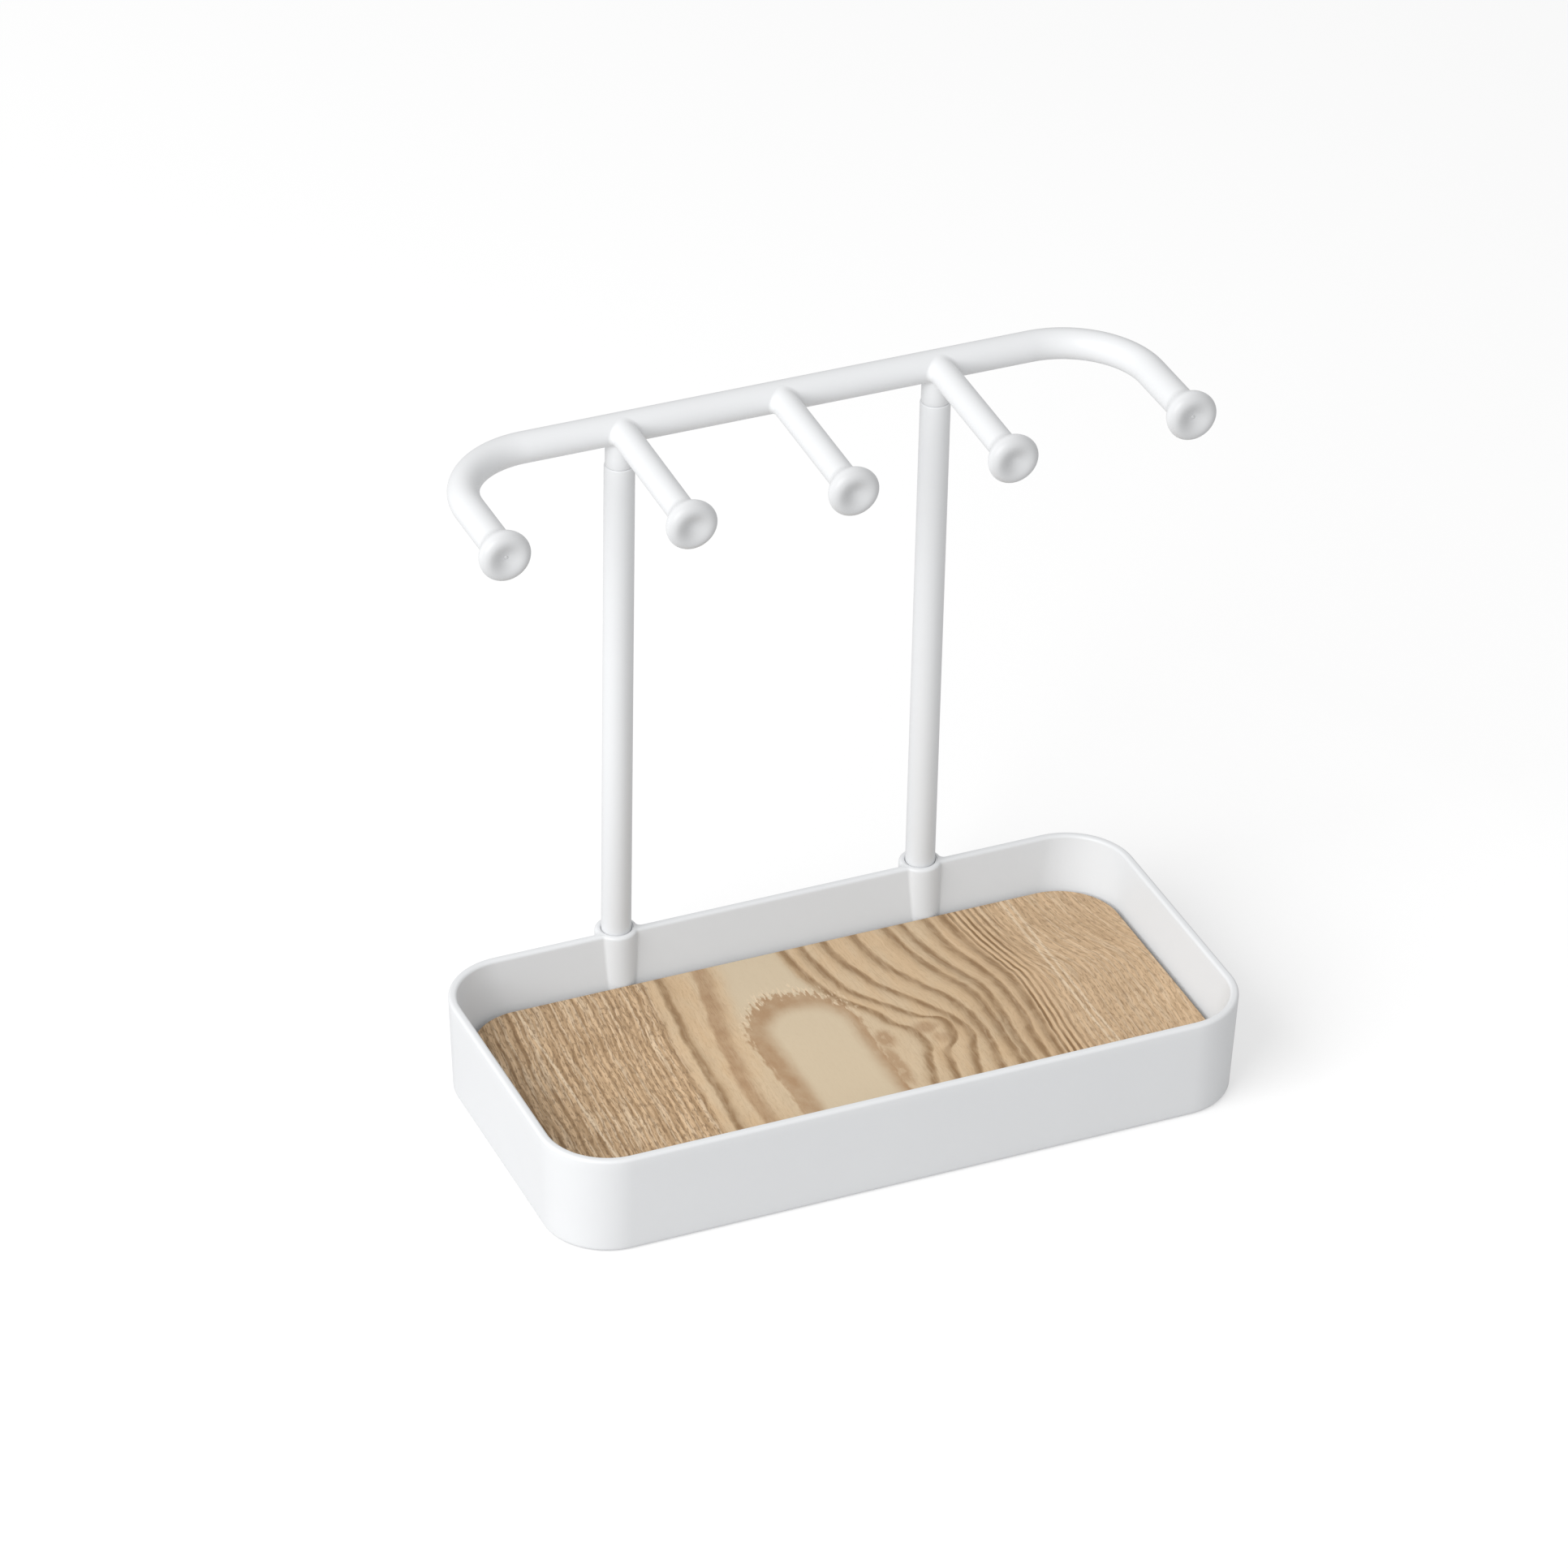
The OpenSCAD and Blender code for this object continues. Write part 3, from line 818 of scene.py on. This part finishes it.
class STAND_OT_posts(bpy.types.Operator):
    """Makes the two tubular posts with softened ends"""
    bl_idname = "stand.posts"
    bl_label = "Posts"

    def execute(self, context):
        s = context.scene.stand_rail
        out, up = edge_steps(5)
        outer, inner, edge, lip = s.post, s.post_bore, s.post_edge, s.bore_edge
        low, high = post_low.z, post_high.z
        radius = np.concatenate([outer - edge * out, outer - edge * up,
                                 inner + lip * out, inner + lip * up])
        z = np.concatenate([low + edge * up, high - edge * out, high - lip * up, low + lip * out])
        for side, name in ((-1, "left_post"), (1, "right_post")):
            tube = lathe(radius, z, side * POST_X, POST_Y)
            make_piece("tubular_" + name, [tube], name, [name], "white_plastic", round_rows=True)
        return {"FINISHED"}


def knob_profile(s, rod, gate):
    """Radii and distances behind the face of a knob, from the middle of its dish to where its flare ends.

    The dish falls by a cosine, the rim is a quarter circle, and the flare runs back to the rod by a cosine.
    The gate's mark takes the place of the dish's first two rings.
    """
    u, flare = np.linspace(0, 1, 15), np.linspace(0, 1, 20)[1:]
    radius, back = [(s.knob - s.knob_round) * u], [s.dish * cosine_fall(u)]
    if gate:
        radius = [GATE_MARK[0] * s.gate, radius[0][2:]]
        back = [s.dish - GATE_MARK[1] * MM, back[0][2:]]
    out, up = edge_steps(12)
    radius += [s.knob - s.knob_round * out[1:], rod + (s.knob - rod) * cosine_fall(flare)]
    back += [s.knob_round * up[1:], s.knob_round + (s.knob_length - s.knob_round) * flare]
    return np.concatenate(radius), np.concatenate(back)


def rod_root(s, rod, spread):
    """Rings of a rod's root on the rail, as (along the rail, across it, away from its axis).

    Each ring is an ellipse that grows by 1 - cos t. It lies above the rail's surface, which is
    sqrt(rail^2 - across^2) away from the axis, by a height that shrinks as 1 - sin t. So the root leaves
    the rod straight and meets the rail level. Two more rings close it inside the rail.
    """
    out, up = as_columns(*edge_steps(9))
    x = (rod + spread * up) * np.cos(AROUND)
    y = (rod + (ROOT_WIDTH * s.rail - rod) * up) * np.sin(AROUND)
    away = np.sqrt((s.rail - ROOT_SINK) ** 2 - y ** 2) + spread * out
    rings = np.stack([x, y, away], axis=-1)
    sunk = rings[-1:] - np.array([0, 0, ROOT_CLOSE])
    middle = 0 * sunk + np.array([0, 0, s.rail / 2])
    return np.concatenate([rings, sunk, middle])


class STAND_OT_rail(bpy.types.Operator):
    """Makes the hook rail: the bent rail with its end hooks, the straight hooks, stubs and spigots"""
    bl_idname = "stand.rail"
    bl_label = "Hook rail"

    def execute(self, context):
        s = context.scene.stand_rail
        grids = [self.bent_rail(s)]
        grids += [self.hook(s, x) for x in (-POST_X, 0.0, POST_X)]
        grids += [self.stub(s, side * POST_X) for side in (-1, 1)]
        make_piece("knobbed_rail", grids, "rail", ["hook_rail"], "white_plastic")
        return {"FINISHED"}

    def bent_rail(self, s):
        """Circles along a level path: one end hook, a bend, the rail, a bend and the other end hook."""
        radius, back = knob_profile(s, s.rail, True)
        face_y, bend_x, bend_y = POST_Y - s.reach, s.end_x - s.bend, POST_Y - s.bend
        arm = np.linspace(face_y + s.knob_length, bend_y, 8)[1:]
        turn = np.linspace(0, QUARTER, 25)[1:]
        along = np.linspace(bend_x, 0, 9)[1:]
        y_arm = np.append(face_y + back, arm)
        x = np.concatenate([s.end_x + 0 * y_arm, bend_x + s.bend * np.cos(turn), along])
        y = np.concatenate([y_arm, bend_y + s.bend * np.sin(turn), POST_Y + 0 * along])
        lean = np.concatenate([0 * y_arm, turn, QUARTER + 0 * along])
        r = np.append(radius, np.full(len(x) - len(radius), s.rail))
        # the right half from its knob to the middle, then the left half back out
        halves = ((x, -x), (y, y), (lean, math.pi - lean), (r, r))
        x, y, lean, r = as_columns(*[np.append(right, left[-2::-1]) for right, left in halves])
        side = r * np.cos(AROUND)
        return np.stack([x + side * np.cos(lean), y + side * np.sin(lean),
                         s.rail_height + r * np.sin(AROUND)], axis=-1)

    def hook(self, s, x):
        """A straight hook: its knob, its rod and its root, turned down about the rail's axis."""
        radius, back = knob_profile(s, s.hook, False)
        rod = np.linspace(s.reach - s.knob_length, s.rail + 3 * s.root_round, 6)[1:]
        turned = lathe(np.append(radius, s.hook + 0 * rod), np.append(s.reach - back, rod))
        rows = np.concatenate([turned, rod_root(s, s.hook, s.root_round)])
        tilt = math.asin(s.droop / s.reach)
        y, z = -rows[..., 2], rows[..., 1]
        return np.stack([x + rows[..., 0], POST_Y + y * math.cos(tilt) - z * math.sin(tilt),
                         s.rail_height + y * math.sin(tilt) + z * math.cos(tilt)], axis=-1)

    def stub(self, s, x):
        """A stub under the rail with the spigot below it: a turned profile that ends in a root."""
        seam, tip = s.rail_height - post_high.z, s.rail_height - s.spigot_low
        out, up = edge_steps(4)
        rod = np.linspace(seam - s.stub_edge, s.rail + 1.5 * s.stub_root, 4)[1:]
        radius = np.concatenate([[0, s.spigot - s.spigot_edge, s.spigot, s.spigot],
                                 s.stub - s.stub_edge * out, s.stub + 0 * rod])
        away = np.concatenate([[tip, tip, tip - s.spigot_edge, seam], seam - s.stub_edge * up, rod])
        rows = np.concatenate([lathe(radius, away), rod_root(s, s.stub, s.stub_root)])
        return np.stack([x + rows[..., 0], POST_Y + rows[..., 1], s.rail_height - rows[..., 2]], axis=-1)


class STAND_OT_studio(bpy.types.Operator):
    """Makes the floor, the light and the camera"""
    bl_idname = "stand.studio"
    bl_label = "Studio"

    def execute(self, context):
        s = context.scene.stand_studio
        self.floor(s)
        self.light(context, s)
        self.camera(context, s)
        context.scene.view_settings.view_transform = "Standard"
        return {"FINISHED"}

    def floor(self, s):
        """A wide pale floor, a hair under the tray's base, and clear when seen from below."""
        half = FLOOR_HALF
        mesh = bpy.data.meshes.new("studio_floor")
        corners = [(half * x, half * y, FLOOR_Z) for x, y in ((-1, -1), (1, -1), (1, 1), (-1, 1))]
        mesh.from_pydata(corners, [], [(0, 1, 2, 3)])
        material, n, shader = blank_material("studio paper")
        fibre = n.noise(n.add("ShaderNodeTexCoord").outputs["Object"], 9.0, 4.0)
        seen = n.add("ShaderNodeLightPath").outputs["Is Camera Ray"]
        paper = n.mix(fibre, s.floor, [0.99 * c for c in s.floor])
        below = n.add("ShaderNodeNewGeometry").outputs["Backfacing"]
        n.fill(shader, {"Base Color": n.mix(seen, s.floor_dim, paper),
                        "Roughness": n.ramp(fibre, 0.3, 0.7, 0.86, 0.94), "Specular IOR Level": 0.0,
                        "Emission Color": n.mix(seen, (0.4, 0.4, 0.4), (1.0, 1.0, 1.0)),
                        "Emission Strength": s.floor_glow, "Alpha": n.minus(1.0, below)})
        mesh.materials.append(material)
        floor = new_object("studio_floor", mesh)

    def light(self, context, s):
        """An even sky and one large soft lamp at the upper left."""
        world = bpy.data.worlds.new("studio")
        world.use_nodes = True
        background = world.node_tree.nodes["Background"]
        background.inputs["Color"].default_value = (1, 1, 1, 1)
        background.inputs["Strength"].default_value = s.sky
        context.scene.world = world
        lamp = bpy.data.lights.new("window", "AREA")
        lamp.shape, lamp.size, lamp.size_y, lamp.energy = "RECTANGLE", LAMP_SIDE, LAMP_SIDE, s.key
        turn = (LAMP_AIM - LAMP_PLACE).to_track_quat("-Z", "Y").to_matrix().to_4x4()
        new_object("window", lamp).matrix_world = Matrix.Translation(LAMP_PLACE) @ turn

    def camera(self, context, s):
        """The photograph's camera: three turns at the target, and a step back from it."""
        data = bpy.data.cameras.new("photo_camera")
        data.sensor_fit, data.sensor_width, data.lens = "HORIZONTAL", 36.0, s.lens
        data.clip_start, data.clip_end = 0.05, 50.0
        turn = (Matrix.Rotation(s.azimuth, 4, "Z") @ Matrix.Rotation(QUARTER - s.elevation, 4, "X")
                @ Matrix.Rotation(s.roll, 4, "Z"))
        camera = new_object("photo_camera", data)
        camera.matrix_world = Matrix.Translation(s.target) @ turn @ Matrix.Translation((0, 0, s.distance))
        context.scene.camera = camera


class STAND_PT_panel(bpy.types.Panel):
    """The stand's pieces and its studio, in the 3D view's sidebar"""
    bl_idname = "STAND_PT_panel"
    bl_label = "Jewellery stand"
    bl_space_type = "VIEW_3D"
    bl_region_type = "UI"
    bl_category = "Jewellery stand"

    def draw(self, context):
        for operator in OPERATORS:
            self.layout.operator(operator.bl_idname)


GROUPS = {"stand_tray": StandTraySizes, "stand_rail": StandRailSizes, "stand_colours": StandColours,
          "stand_studio": StandStudio}
OPERATORS = (STAND_OT_tray, STAND_OT_board, STAND_OT_posts, STAND_OT_rail, STAND_OT_studio)
CLASSES = (*GROUPS.values(), *OPERATORS, STAND_PT_panel)


def register():
    """Makes the classes known and hangs each group of sizes on the scene."""
    for kind in CLASSES:
        bpy.utils.register_class(kind)
    for name, kind in GROUPS.items():
        setattr(bpy.types.Scene, name, bpy.props.PointerProperty(type=kind))


def unregister():
    """Undoes what register did, in the opposite order."""
    for name in GROUPS:
        delattr(bpy.types.Scene, name)
    for kind in reversed(CLASSES):
        bpy.utils.unregister_class(kind)


def main():
    """Builds the stand and its studio."""
    register()
    bpy.ops.stand.tray()
    bpy.ops.stand.board()
    bpy.ops.stand.posts()
    bpy.ops.stand.rail()
    bpy.ops.stand.studio()


if __name__ == "__main__":
    main()
